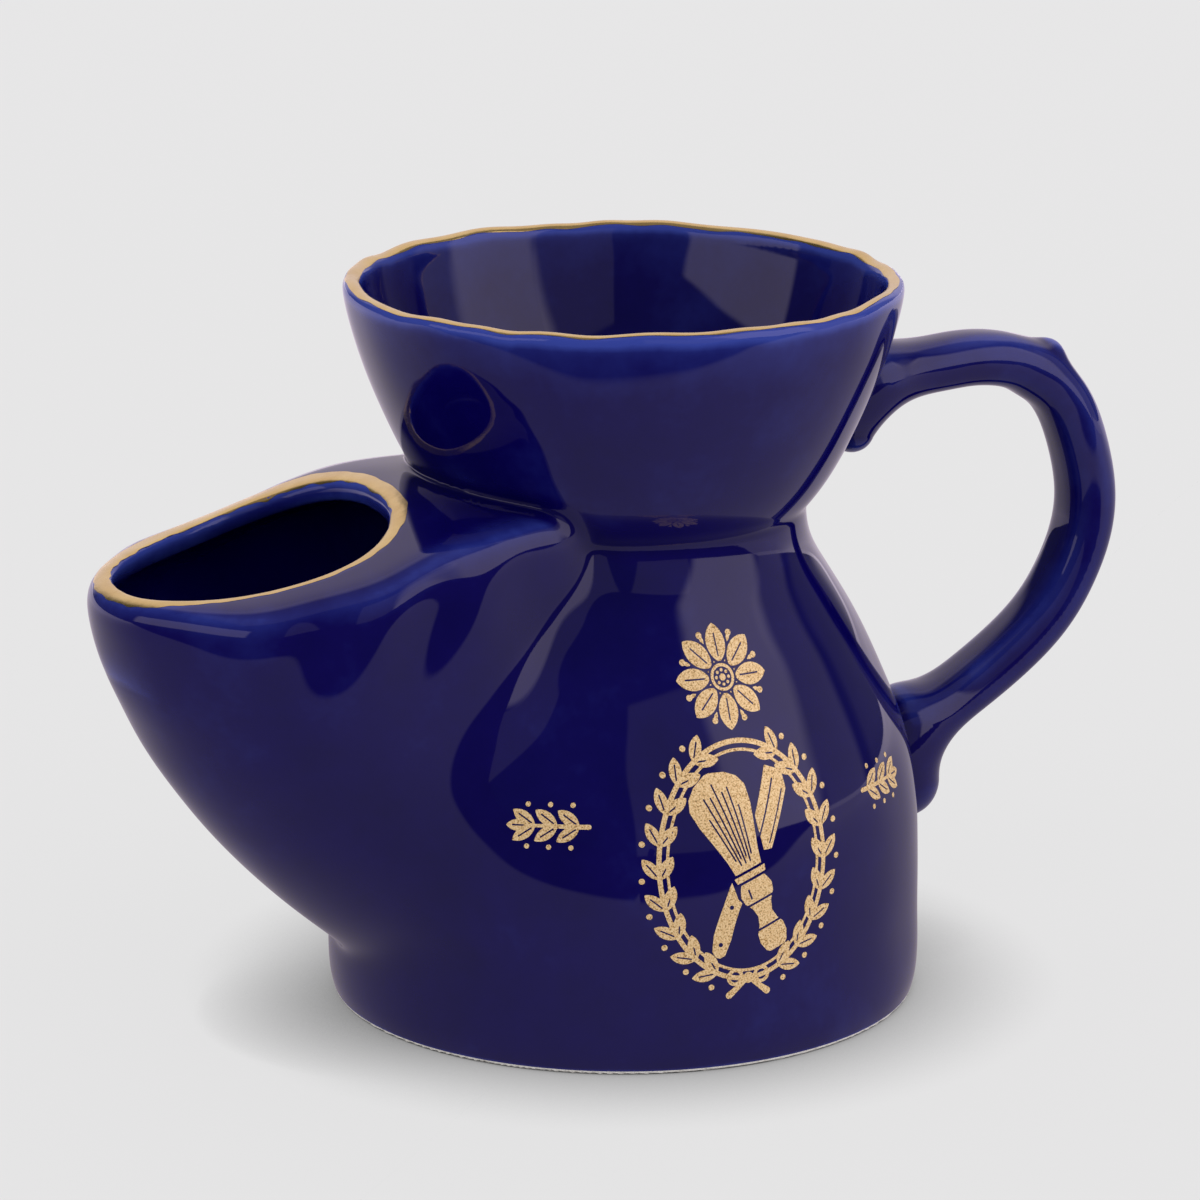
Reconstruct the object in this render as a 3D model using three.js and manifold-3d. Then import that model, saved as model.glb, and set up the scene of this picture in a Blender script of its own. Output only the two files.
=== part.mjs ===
// Shaving scuttle mug in glazed porcelain: a turned water tank with a brush pouch on one side,
// a soap bowl on a narrow neck above it, a loop handle on the other side, and gilt trim.
// Millimetres, +Z up. The pouch points along -X, the handle along +X and the ornament faces -Y.
import * as THREE from 'three';
import { mergeVertices } from 'three/addons/utils/BufferGeometryUtils.js';
import Module from 'manifold-3d';

const wasm = await Module();
wasm.setup();

// ---------------------------------------------------------------- driving dimensions (mm)
const HEIGHT = 105; // floor to lip of the soap bowl
const JOINT_GAP = 0.3; // luting gap between neighbouring pieces
const ROUND_SEGMENTS = 48; // facets round every turned piece

// Outside of the turned body, as [radius, height] from the floor to the lip.
const TURNED_OUTLINE = [
  [41.6, 0], [42.6, 1.5], [43, 4], [43, 20], [42.6, 30], [41, 38], [37.9, 46], [33.2, 56],
  [29.5, 62], [27.4, 65.5], [26.8, 67], [26.2, 71.5], [27.2, 73], [29.5, 76], [31.2, 80],
  [34.2, 86], [36.8, 92], [38.9, 98], [39.9, 102], [40, HEIGHT],
];
const TANK_WALL = 3.6;
const BOWL_WALL = 3.0;

const FOOT_HEIGHT = 1.8;
const FOOT_INNER_R = 34;
const TANK_FLOOR_THICKNESS = 3.5;
const TANK_TOP = 66;
const NECK_TOP = 73.2;
const STRAINER_THICKNESS = 3;
const DRAIN_HOLE_R = 2.5;
const DRAIN_RING_R = 14;
const DRAIN_RING_COUNT = 6;
const GILT_RIM_HEIGHT = 0.8;
const GILT_RIM_WALL = 2.4;

// Brush pouch: level slices, each [height, reach from the axis, half width].
const POUCH_SLICES = [
  [8, 39.9, 5], [12, 45.1, 10.5], [18, 52.2, 15.5], [26, 60.2, 20], [36, 68, 24],
  [46, 74, 26.8], [56, 78.1, 28.5], [64, 80, 29.3], [90, 80, 29.3],
];
const POUCH_FRONT_STRETCH = 1.12; // front half of a slice: length over half width
const POUCH_BACK_STRETCH = 1.64; // back half of a slice, which runs into the tank
const POUCH_WALL = 4;
const POUCH_FLOOR_LIFT = 5; // the hollow starts this much above the outside
const POUCH_SEGMENTS = 40;
const WINDOW_TOP = 57; // top of the opening between tank and pouch
const WINDOW_BOTTOM = 14;

// Sloping deck over the pouch, and the oval mouth in it.
const DECK_SLOPE = 0.276; // rise per mm towards the neck
const DECK_HEIGHT = 71.5; // at the middle of the mouth
const DECK_THICKNESS = 3.4;
const MOUTH_X = -57.5;
const MOUTH_HALF_LENGTH = 19;
const MOUTH_HALF_WIDTH = 18.3;
const GILT_BAND_WIDTH = 2.1;
const GILT_BAND_THICKNESS = 0.5;

// Handle: centre line from the bowl round to the tank, as [x, z].
const HANDLE_LINE = [
  [33.5, 85.5], [42, 87.2], [49.9, 87.9], [56.3, 87.9], [63.8, 86.3], [69.4, 82.3], [73.4, 75.5],
  [75.6, 67.5], [75.6, 61.5], [73.6, 55.5], [70, 49.6], [65.2, 44.6], [58.3, 39.5],
  [51, 34.8], [44, 30.5], [36, 26],
];
const HANDLE_WIDTH = 10.2;
const HANDLE_THICKNESS = 7.9;
const HANDLE_SIDES = 14;
const HANDLE_STEPS = 30;

// Ornament on the front of the tank.
const TRANSFER_GAP = 0.3; // between the glaze and the gilt transfer
const TRANSFER_THICKNESS = 0.4;
const WREATH_Z = 29.9;
const WREATH_HALF_WIDTH = 13;
const WREATH_HALF_HEIGHT = 16.9;
const WREATH_BAND = 0.8;
const WREATH_SEGMENTS = 44;
const LEAF_PAIRS = 9; // on each side of the wreath
const LEAF_LEAN = 0.6; // between a leaf and its stem, in radians
const CROSSING = 0.36; // lean of the brush and the razor, in radians
const TOOLS_SPREAD = 4.6; // from the middle to the foot of each tool
const TOOLS_FOOT_Z = 17.2;
const ROSETTE_Z = 54.6;
const ROSETTE_R = 6.8;
const ROSETTE_PETALS = 8;
const SPRIG_Z = 36;
const SPRIG_LENGTH = 11;
const SPRIG_TURN = 38; // degrees round the axis from the front

// ---------------------------------------------------------------- solids and booleans
function toSolid(geometry) {
  const plain = geometry.clone();
  for (const name of Object.keys(plain.attributes)) {
    if (name !== 'position') plain.deleteAttribute(name);
  }
  const merged = mergeVertices(plain, 1e-4);
  return new wasm.Manifold(new wasm.Mesh({
    numProp: 3,
    vertProperties: new Float32Array(merged.attributes.position.array),
    triVerts: new Uint32Array(merged.index.array),
  }));
}

function toGeometry(solid) {
  const mesh = solid.getMesh();
  const geometry = new THREE.BufferGeometry();
  geometry.setAttribute('position', new THREE.BufferAttribute(mesh.vertProperties, 3));
  geometry.setIndex(new THREE.BufferAttribute(mesh.triVerts, 1));
  return geometry;
}

function box(xRange, yRange, zRange) {
  const size = [xRange, yRange, zRange].map(([low, high]) => high - low);
  const geometry = new THREE.BoxGeometry(...size);
  const middle = [xRange, yRange, zRange].map(([low, high]) => (low + high) / 2);
  return toSolid(geometry.translate(...middle));
}

// Closed body through rings of equal length, stacked upwards and turned the same way.
function loft(rings) {
  const count = rings[0].length;
  const positions = rings.flat().flatMap((point) => point.toArray());
  const index = [];
  for (let ring = 0; ring + 1 < rings.length; ring += 1) {
    for (let i = 0; i < count; i += 1) {
      const a = ring * count + i;
      const b = ring * count + ((i + 1) % count);
      index.push(a, b, b + count, a, b + count, a + count);
    }
  }
  const last = (rings.length - 1) * count;
  for (let i = 1; i + 1 < count; i += 1) {
    index.push(0, i + 1, i);
    index.push(last, last + i, last + i + 1);
  }
  const geometry = new THREE.BufferGeometry();
  geometry.setAttribute('position', new THREE.Float32BufferAttribute(positions, 3));
  geometry.setIndex(index);
  return toSolid(geometry);
}

// ---------------------------------------------------------------- turned pieces
const outline = new THREE.CatmullRomCurve3(
  TURNED_OUTLINE.map(([r, z]) => new THREE.Vector3(r, z, 0)), false, 'centripetal',
).getPoints(200);

function radiusAt(z) {
  const above = outline.findIndex((point) => point.y >= z);
  if (above <= 0) return outline[Math.max(above, 0)].x;
  const low = outline[above - 1];
  const high = outline[above];
  return THREE.MathUtils.lerp(low.x, high.x, (z - low.y) / (high.y - low.y));
}

// Heights from low to high, with those of the outline's own points in between.
function heightsBetween(low, high) {
  const inner = TURNED_OUTLINE.map(([, z]) => z).filter((z) => z > low + 0.4 && z < high - 0.4);
  return [low, ...inner, high];
}

function lathe(profile) {
  const points = [...profile, profile[0]].map(([r, z]) => new THREE.Vector2(r, z));
  const geometry = new THREE.LatheGeometry(points, ROUND_SEGMENTS);
  return toSolid(geometry.rotateX(Math.PI / 2));
}

// Ring of the turned outline between two heights: outside and inside set off from the outline.
function turnedRing(low, high, outer, inner) {
  const heights = heightsBetween(low, high);
  const outside = heights.map((z) => [radiusAt(z) + outer, z]);
  const inside = heights.map((z) => [radiusAt(z) + inner, z]).reverse();
  return lathe([...outside, ...inside]);
}

function disc(radius, low, high) {
  return lathe([[0, low], [radius, low], [radius, high], [0, high]]);
}

function turnedCore(clearance) {
  const heights = heightsBetween(0, HEIGHT);
  const outside = heights.map((z) => [radiusAt(z) + clearance, z]);
  return lathe([[0, 0], ...outside, [0, HEIGHT]]);
}

function footRing() {
  const heights = [0, FOOT_HEIGHT];
  const outside = heights.map((z) => [radiusAt(z), z]);
  return lathe([...outside, [FOOT_INNER_R, FOOT_HEIGHT], [FOOT_INNER_R, 0]]);
}

function tankFloor() {
  const low = FOOT_HEIGHT + JOINT_GAP;
  const radius = radiusAt(low) - TANK_WALL - JOINT_GAP;
  return disc(radius, low, low + TANK_FLOOR_THICKNESS);
}

function tankWall() {
  const ring = turnedRing(FOOT_HEIGHT + JOINT_GAP, TANK_TOP, 0, -TANK_WALL);
  const slot = box([-60, 0], [-30, 30], [WINDOW_BOTTOM, WINDOW_TOP]);
  return ring.subtract(pouchHollow().intersect(slot));
}

function neckCollar() {
  return turnedRing(TANK_TOP + JOINT_GAP, NECK_TOP, 0, -TANK_WALL);
}

function soapBowl() {
  return turnedRing(NECK_TOP + JOINT_GAP, HEIGHT - GILT_RIM_HEIGHT - JOINT_GAP, 0, -BOWL_WALL);
}

function strainerFloor() {
  const low = NECK_TOP + JOINT_GAP;
  const radius = radiusAt(low) - BOWL_WALL - 2 * JOINT_GAP;
  let plate = disc(radius, low, low + STRAINER_THICKNESS);
  for (let i = 0; i <= DRAIN_RING_COUNT; i += 1) {
    const spread = i === 0 ? 0 : DRAIN_RING_R;
    const angle = (i * 2 * Math.PI) / DRAIN_RING_COUNT;
    const hole = new THREE.CylinderGeometry(DRAIN_HOLE_R, DRAIN_HOLE_R, 4 * STRAINER_THICKNESS, 16);
    hole.rotateX(Math.PI / 2);
    hole.translate(spread * Math.cos(angle), spread * Math.sin(angle), low);
    plate = plate.subtract(toSolid(hole));
  }
  return plate;
}

function bowlGiltBand() {
  return turnedRing(HEIGHT - GILT_RIM_HEIGHT, HEIGHT, 0, -GILT_RIM_WALL);
}

// ---------------------------------------------------------------- brush pouch
function pouchSlice([height, reach, halfWidth], inset, lift) {
  const width = Math.max(halfWidth - inset, 1);
  const front = width * POUCH_FRONT_STRETCH;
  const back = halfWidth * POUCH_BACK_STRETCH;
  const middle = front + inset - reach;
  const ring = [];
  for (let i = 0; i < POUCH_SEGMENTS; i += 1) {
    const angle = (i * 2 * Math.PI) / POUCH_SEGMENTS;
    const along = Math.cos(angle) * (Math.cos(angle) < 0 ? front : back);
    ring.push(new THREE.Vector3(middle + along, width * Math.sin(angle), height + lift));
  }
  return ring;
}

function pouchHull() {
  return loft(POUCH_SLICES.map((slice) => pouchSlice(slice, 0, 0)));
}

function pouchHollow() {
  return loft(POUCH_SLICES.map((slice) => pouchSlice(slice, POUCH_WALL, POUCH_FLOOR_LIFT)));
}

// Everything between two planes parallel to the deck, given as heights above its top face.
function deckSlab(low, high) {
  const slab = new THREE.BoxGeometry(200, 120, high - low);
  slab.translate(0, 0, (low + high) / 2);
  slab.rotateY(-Math.atan(DECK_SLOPE));
  slab.translate(MOUTH_X, 0, DECK_HEIGHT);
  return toSolid(slab);
}

function mouthColumn(grow) {
  const oval = new THREE.Shape();
  oval.absellipse(0, 0, MOUTH_HALF_LENGTH + grow, MOUTH_HALF_WIDTH + grow, 0, 2 * Math.PI);
  const column = new THREE.ExtrudeGeometry(oval, {
    depth: 60, bevelEnabled: false, curveSegments: POUCH_SEGMENTS / 2,
  });
  return toSolid(column.translate(MOUTH_X, 0, 40));
}

function brushPouch() {
  return pouchHull()
    .subtract(pouchHollow())
    .subtract(deckSlab(-DECK_THICKNESS - JOINT_GAP, 60))
    .subtract(turnedCore(JOINT_GAP));
}

function pouchDeck() {
  return pouchHull()
    .intersect(deckSlab(-DECK_THICKNESS, 0))
    .subtract(mouthColumn(0))
    .subtract(turnedCore(JOINT_GAP));
}

function pouchGiltBand() {
  return mouthColumn(GILT_BAND_WIDTH)
    .subtract(mouthColumn(0))
    .intersect(deckSlab(JOINT_GAP, JOINT_GAP + GILT_BAND_THICKNESS));
}

// ---------------------------------------------------------------- handle
function handleSection(grow) {
  const section = new THREE.Shape();
  const points = [];
  for (let i = 0; i < HANDLE_SIDES; i += 1) {
    const angle = ((i + 0.5) * 2 * Math.PI) / HANDLE_SIDES;
    const across = (HANDLE_WIDTH / 2 + grow) * Math.cos(angle);
    const along = (HANDLE_THICKNESS / 2 + grow) * Math.sin(angle);
    points.push(new THREE.Vector2(across, along));
  }
  section.setFromPoints(points);
  return section;
}

function handleTube(grow) {
  const line = new THREE.CatmullRomCurve3(
    HANDLE_LINE.map(([x, z]) => new THREE.Vector3(x, 0, z)), false, 'centripetal',
  );
  const tube = new THREE.ExtrudeGeometry(handleSection(grow), {
    steps: HANDLE_STEPS, extrudePath: line, bevelEnabled: false,
  });
  return toSolid(tube);
}

// Leaf-shaped pad lying along the turned body at the handle's side, between two heights.
function rootPad(low, high, halfWidth, thickness) {
  const steps = 8;
  const rings = [];
  for (let i = 0; i <= steps; i += 1) {
    const z = THREE.MathUtils.lerp(low, high, i / steps);
    const swell = 0.35 + 0.65 * Math.sin((Math.PI * i) / steps) ** 0.7;
    const centre = new THREE.Vector3(radiusAt(z), 0, z);
    const ring = [];
    for (let k = 0; k < 16; k += 1) {
      const angle = (k * 2 * Math.PI) / 16;
      const out = thickness * swell * Math.cos(angle);
      const side = halfWidth * swell * Math.sin(angle);
      ring.push(new THREE.Vector3(centre.x + out, side, z));
    }
    rings.push(ring);
  }
  return loft(rings);
}

function handleUpperRoot() {
  return rootPad(74.5, 92.5, 8, 4.6).subtract(turnedCore(JOINT_GAP));
}

function handleLowerRoot() {
  return rootPad(17, 41, 8, 8).subtract(turnedCore(JOINT_GAP));
}

function handleLoop() {
  return handleTube(0).subtract(turnedCore(JOINT_GAP));
}

// ---------------------------------------------------------------- gilt ornament
// Pointed leaf from its foot at (x, z), growing in the direction of the angle.
function leaf(x, z, angle, length, width) {
  const place = (along, across) => [
    x + along * Math.cos(angle) - across * Math.sin(angle),
    z + along * Math.sin(angle) + across * Math.cos(angle),
  ];
  const shape = new THREE.Shape();
  shape.moveTo(...place(0, 0));
  shape.quadraticCurveTo(...place(length * 0.45, width), ...place(length, 0));
  shape.quadraticCurveTo(...place(length * 0.45, -width), ...place(0, 0));
  return shape;
}

function disk(x, z, radius) {
  const shape = new THREE.Shape();
  shape.absarc(x, z, radius, 0, 2 * Math.PI);
  return shape;
}

function polygon(points) {
  return new THREE.Shape(points.map(([x, z]) => new THREE.Vector2(x, z)));
}

// The same outline turned about its own foot and moved to a place on the tank.
function laidAt(points, angle, x, z) {
  return polygon(points.map(([u, v]) => [
    x + u * Math.cos(angle) - v * Math.sin(angle),
    z + u * Math.sin(angle) + v * Math.cos(angle),
  ]));
}

// Flat outlines in x and z, pressed onto the front of the tank and turned round the axis.
function transfer(shapes, turn) {
  const prisms = shapes.map((shape) => {
    const geometry = new THREE.ExtrudeGeometry(shape, {
      depth: 60, bevelEnabled: false, curveSegments: 5,
    });
    return toSolid(geometry.rotateX(Math.PI / 2));
  });
  const whole = prisms.reduce((sum, prism) => sum.add(prism));
  const skin = turnedRing(8, TANK_TOP, TRANSFER_GAP + TRANSFER_THICKNESS, TRANSFER_GAP);
  return whole.intersect(skin).rotate([0, 0, turn]);
}

function wreath() {
  const oval = (shrink) => new THREE.EllipseCurve(
    0, WREATH_Z, WREATH_HALF_WIDTH - shrink, WREATH_HALF_HEIGHT - shrink, 0, 2 * Math.PI,
  ).getPoints(WREATH_SEGMENTS);
  const ring = new THREE.Shape(oval(0).slice(1));
  ring.holes.push(new THREE.Path(oval(WREATH_BAND).slice(1)));
  const shapes = [ring];
  for (const side of [-1, 1]) {
    for (let i = 0; i < LEAF_PAIRS; i += 1) {
      const round = -Math.PI / 2 + (0.12 + 0.8 * (i / LEAF_PAIRS)) * Math.PI;
      const x = side * (WREATH_HALF_WIDTH - WREATH_BAND / 2) * Math.cos(round);
      const z = WREATH_Z + (WREATH_HALF_HEIGHT - WREATH_BAND / 2) * Math.sin(round);
      const along = Math.atan2(
        WREATH_HALF_HEIGHT * Math.cos(round), -side * WREATH_HALF_WIDTH * Math.sin(round),
      );
      for (const lean of [-LEAF_LEAN, LEAF_LEAN]) shapes.push(leaf(x, z, along + lean, 3.6, 1.2));
    }
  }
  return transfer(shapes, 0);
}

// Shaving brush and open razor, crossed.
function crossedTools() {
  const brush = [
    [-1.6, 0], [1.6, 0], [2.4, 3], [1.3, 6], [2.6, 9], [2.2, 11], [3.1, 12],
    [4.6, 25], [0, 27], [-4.6, 25], [-3.1, 12], [-2.2, 11], [-2.6, 9], [-1.3, 6], [-2.4, 3],
  ];
  const razor = [
    [-1.1, 0], [1.1, 0], [1.5, 12], [2.8, 14], [3, 26], [-0.6, 27], [-0.6, 14], [-1.5, 12],
  ];
  return transfer([
    laidAt(brush, CROSSING, TOOLS_SPREAD, TOOLS_FOOT_Z),
    laidAt(razor, -CROSSING, -TOOLS_SPREAD, TOOLS_FOOT_Z),
  ], 0);
}

function rosette() {
  const shapes = [disk(0, ROSETTE_Z, ROSETTE_R * 0.36)];
  for (let i = 0; i < ROSETTE_PETALS; i += 1) {
    shapes.push(leaf(0, ROSETTE_Z, (i * 2 * Math.PI) / ROSETTE_PETALS, ROSETTE_R, 2.2));
  }
  return transfer(shapes, 0);
}

function sprig(side) {
  const half = SPRIG_LENGTH / 2;
  const shapes = [polygon([
    [-half, SPRIG_Z - 0.35], [half, SPRIG_Z - 0.35], [half, SPRIG_Z + 0.35], [-half, SPRIG_Z + 0.35],
  ])];
  for (let i = 0; i < 3; i += 1) {
    const x = side * (half * 0.8 - i * SPRIG_LENGTH * 0.28);
    const outwards = side > 0 ? Math.PI : 0;
    for (const lean of [-LEAF_LEAN, LEAF_LEAN]) {
      shapes.push(leaf(x, SPRIG_Z, outwards + lean, 4, 1.2));
    }
  }
  return transfer(shapes, side * SPRIG_TURN);
}

// ---------------------------------------------------------------- assembly
const porcelain = { color: 0x1f2170, roughness: 0.12, metalness: 0 };
const bareClay = { color: 0xd9d5cb, roughness: 0.75, metalness: 0 };
const gilt = { color: 0xc9a566, roughness: 0.28, metalness: 1 };

const upperRoot = handleUpperRoot();
const lowerRoot = handleLowerRoot();
const pieces = [
  ['foot_ring', footRing(), bareClay],
  ['tank_floor', tankFloor(), porcelain],
  ['tank_wall', tankWall(), porcelain],
  ['neck_collar', neckCollar(), porcelain],
  ['strainer_floor', strainerFloor(), porcelain],
  ['soap_bowl', soapBowl(), porcelain],
  ['brush_pouch', brushPouch(), porcelain],
  ['pouch_deck', pouchDeck(), porcelain],
  ['handle_loop', handleLoop(), porcelain],
  ['handle_upper_root', upperRoot.subtract(handleTube(JOINT_GAP)), porcelain],
  ['handle_lower_root', lowerRoot.subtract(handleTube(JOINT_GAP)), porcelain],
  ['bowl_gilt_band', bowlGiltBand(), gilt],
  ['pouch_gilt_band', pouchGiltBand(), gilt],
  ['ornament_wreath', wreath(), gilt],
  ['ornament_tools', crossedTools(), gilt],
  ['ornament_rosette', rosette(), gilt],
  ['sprig_left', sprig(-1), gilt],
  ['sprig_right', sprig(1), gilt],
];

const mug = new THREE.Group();
for (const [name, solid, finish] of pieces) {
  const mesh = new THREE.Mesh(toGeometry(solid), new THREE.MeshStandardMaterial(finish));
  mesh.name = name;
  mug.add(mesh);
}

export default mug;
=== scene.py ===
"""A porcelain shaving scuttle mug: cobalt glaze, gilt lips and a gilt ornament, on a pale floor.

The glazed body is one flowing surface, as glaze makes it. It is worked out as a signed distance
(in millimetres, negative inside), turned into a fine mesh and then parted into the mug's pieces.
"""
import math

import bmesh
import bpy
import numpy as np
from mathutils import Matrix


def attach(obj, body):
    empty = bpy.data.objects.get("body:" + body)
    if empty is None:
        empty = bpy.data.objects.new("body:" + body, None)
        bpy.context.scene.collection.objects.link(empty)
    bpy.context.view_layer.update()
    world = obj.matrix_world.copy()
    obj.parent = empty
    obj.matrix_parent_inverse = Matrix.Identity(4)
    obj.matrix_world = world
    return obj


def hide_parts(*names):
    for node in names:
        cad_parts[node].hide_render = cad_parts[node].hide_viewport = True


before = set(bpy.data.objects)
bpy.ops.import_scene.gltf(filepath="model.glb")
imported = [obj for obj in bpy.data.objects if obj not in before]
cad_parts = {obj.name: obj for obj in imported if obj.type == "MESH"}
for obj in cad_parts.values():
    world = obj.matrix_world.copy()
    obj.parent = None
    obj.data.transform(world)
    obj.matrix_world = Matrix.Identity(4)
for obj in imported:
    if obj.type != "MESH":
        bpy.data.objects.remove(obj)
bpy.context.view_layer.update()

import openvdb
from mathutils import Vector

MM = 0.001
VOXEL = 0.66

# ------------------------------------------------------------------ driving dimensions (mm)
LIP_Z = 105.0
# Outside of the tank and neck, then of the bowl, as (height, radius).
TANK_OUTLINE = [
    (-3, 41.8), (0, 42.3), (1.5, 42.85), (4, 43.1), (12, 43.05), (20, 43.0), (30, 42.5), (38, 41.0),
    (46, 37.9), (56, 33.2), (62, 29.6), (65.5, 27.5), (68, 26.6), (71.5, 26.2), (80, 25.8),
]
BOWL_OUTLINE = [
    (68, 22.0), (70, 24.3), (73, 27.1), (76, 29.3), (80, 31.6), (86, 34.45), (92, 36.9),
    (98, 38.8), (102, 39.75), (105.5, 40.15), (112, 40.2),
]
CREASE_ROUND = 1.4
# Waves of the hand-finished lip, as (height, turns round the bowl, phase, bend of the phase, turns
# of that bend). The lip also sags a little where the handle pulls on it.
LIP_WAVES = [
    (0.11, 13, 0.0, 1.6, 3), (0.10, 7, 1.0, 0.0, 0), (0.07, 22, 0.0, 1.5, 5), (0.06, 4, 2.4, 0.0, 0),
]
LIP_DIP, LIP_DIP_SHARP, LIP_DIP_TURN = 0.55, 12.0, 0.07
TANK_WALL = 3.6
BOWL_WALL = 2.7
TANK_FLOOR_TOP = 5.6
STRAINER_LOW, STRAINER_TOP = 73.9, 76.5
STRAINER_R = 24.3
FLOOR_DISC_R = 29.0
DRAIN_R, DRAIN_RING_R, DRAIN_COUNT = 2.5, 14.0, 6
RECESS_R, RECESS_TOP = 34.0, 1.8
LIP_ROUND, INSIDE_ROUND, DRAIN_ROUND, FOOT_ROUND = 2.6, 2.4, 1.0, 0.4
BOWL_FLOOR_ROUND, TANK_FLOOR_ROUND, TANK_TOP_ROUND, MOUTH_ROUND = 4.0, 3.0, 0.6, 3.0
# Where the glazed body parts into its pieces.
FOOT_TOP, NECK_LOW, NECK_HIGH = 0.55, 66.15, 73.2
CORE_SKIN = 0.5
DECK_SEAM = 0.8
UPPER_ROOT_END, LOWER_ROOT_END = 1.45, 12.7

# Brush pouch: (height, reach from the axis) and (height, half width) of its level slices.
POUCH_REACH = [
    (2, 33), (8, 39.9), (12, 45.1), (18, 52.2), (26, 60.2), (36, 68.05), (46, 74.0), (56, 78.1),
    (62, 79.6), (66, 80.1), (72, 80.3), (95, 80.3),
]
POUCH_HALF = [
    (2, 1.5), (8, 5.0), (12, 10.5), (18, 15.5), (26, 20.0), (36, 24.0), (46, 26.8), (56, 28.5),
    (62, 29.1), (66, 29.3), (95, 29.3),
]
POUCH_FRONT, POUCH_BACK = 1.12, 1.64
POUCH_WALL = 3.4
WELL_FLOOR_Z, WELL_END_X, WELL_ROUND = 14.0, -20.0, 4.0
# Boxes that the pouch, its well and the handle stay within.
POUCH_BOX = ((-90, -40, 2), (5, 40, 92))
WELL_BOX = ((-90, -40, 8), (5, 40, 92))
HANDLE_BOX = ((28, -13, 10), (84, 13, 98))
WHOLE_BOX = ((-83, -46, -2), (83, 46, 108))
# Blend between pouch and turned body, by height.
POUCH_BLEND = [
    (0, 2.5), (10, 3.5), (18, 14), (30, 22), (45, 18), (58, 10), (68, 5), (76, 2.6), (95, 2.4),
]

# Deck over the pouch: (distance past the middle of the mouth, height), falling away to the sides.
MOUTH_X, MOUTH_A, MOUTH_B = -57.46, 21.24, 20.52
MOUTH_POWER, MOUTH_EGG = 2.35, 0.192
DECK_LINE = [
    (-30, 66.0), (-24, 67.0), (-21, 67.5), (-10, 69.3), (0, 71.5), (10, 74.4), (21, 78.0),
    (27, 78.7), (31, 78.9), (45, 79.3),
]
DECK_FALL = 0.003
DECK_BROW, DECK_DROP = 19.5, 0.028
BROW_START, BROW_SWING = -44.0, 0.35
DECK_RIDGE = 6.5
# The shoulder also swells and sinks along the mug: where it swells most, its pitch along x, its
# height and reach, and how far it swells.
HIP_X, HIP_PITCH, HIP_Z, HIP_TALL, HIP_SWELL = -32.0, 0.36, 65.0, 9.0, 0.45
DECK_THICK = 3.4
# Soft dents and swellings of the hand-finished pouch, as (weight, rates along x, z and y, phase),
# strongest at one height.
DENTS = [(1.0, 0.30, 0.14, 0.0, 0.8), (0.7, 0.47, -0.21, 0.16, 2.1)]
DENT_DEPTH, DENT_Z, DENT_SPREAD = 0.2, 60.0, 16.0
MOUTH_LEDGE, MOUTH_DEPTH = 2.6, 12.0
# Width of the pouch's gilt band, how far more it reaches out over the brow behind the mouth, and
# how much narrower it is in front.
GILT_WIDTH, GILT_SPILL, GILT_DRAWN_IN = 2.1, 1.5, 0.7
# Its outer edge against the mouth's oval, and how unsteady its outer and inner edges are.
GILT_OUTER, GILT_OUTER_WOBBLE, GILT_INNER_WOBBLE = -0.1, 0.16, 0.2

# Gilt: the bands' steps round, and how far the bowl's band leans over the lip to either side.
BAND_STEPS = 720
BAND_OUTER, BAND_INNER, BAND_WOBBLE = 0.62, -0.98, 0.13
# On the handle's side more of the lip stays blue.
BAND_DRAWN_IN, BAND_DRAWN_TURN = 0.4, 0.2
BRUSH_WAVES = [(0.45, 23, 1.0), (0.3, 11, 2.1), (0.25, 41, 0.7), (0.2, 5, 3.0)]
GILT_TOP, GILT_UNDER = 0.035, -0.03

# Glaze colours, from pooled to thin over an edge.
GLAZE_POOLED = (0.0009, 0.0002, 0.038)
GLAZE_DEEP = (0.0014, 0.0004, 0.052)
GLAZE_BODY = (0.0022, 0.0008, 0.065)
GLAZE_THIN = (0.0090, 0.0130, 0.128)
GLAZE_EDGE = (0.0300, 0.0500, 0.280)
# How much thinner the glaze runs on edges and over the last stretch below the lip, how much lighter
# upward brows are (partly thinner glaze, partly a painted highlight), and how sharp a brow or an edge is
# for that.
BROW_THIN_AND_SHEEN, SHARP_BROW = 0.15, 0.047
LIP_THIN, LIP_RUN = 0.088, 10.0
EDGE_THIN, SHARP_EDGE = 0.07, 0.045

# Gilt ornament on the front of the tank, as the CAD model places it.
ORNAMENT_GRID = 0.12
WREATH_Z, WREATH_HALF_WIDTH, WREATH_HALF_HEIGHT = 29.9, 13.0, 16.9
LEAF_PAIRS, LEAF_LEAN = 9, 0.6
CROSSING, TOOLS_SPREAD, TOOLS_FOOT_Z = 0.36, 4.6, 17.2
ROSETTE_Z, ROSETTE_R, ROSETTE_PETALS = 54.6, 6.8, 8
SPRIG_Z, SPRIG_LENGTH, SPRIG_TURN = 36.0, 11.0, 38.0

# Handle: centre line in x and z, and its section.
HANDLE_LINE = [
    (33.5, 84.2), (42, 86.7), (49.9, 87.6), (56.3, 87.9), (63.8, 86.3), (69.8, 81.8), (73.2, 75.5),
    (75.2, 67.5), (75.0, 61.0), (73.2, 55.5), (70, 49.8), (65.2, 44.6), (58.3, 39.5), (51, 35.0),
    (44, 31.0), (36, 26.5),
]
HANDLE_HALF_WIDTH, HANDLE_HALF_THICK, HANDLE_SQUARE = 5.15, 4.0, 2.5
# Tapered rods in the x-z plane, as (start, end, start radius, end radius, widening across).
THUMB_CORNER = ((66.0, 0, 85.0), (68.6, 0, 87.4), 2.6, 1.9, 1.0)
UPPER_PAD = ((38.0, 0, 87.0), (36.3, 0, 78.6), 4.6, 2.9, 1.25)
LOWER_PAD = ((45.0, 0, 34.0), (45.2, 0, 24.5), 4.5, 5.6, 1.1)
CORNER_BLEND, PAD_BLEND, HANDLE_BLEND = 5.0, 9.0, 2.2
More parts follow.
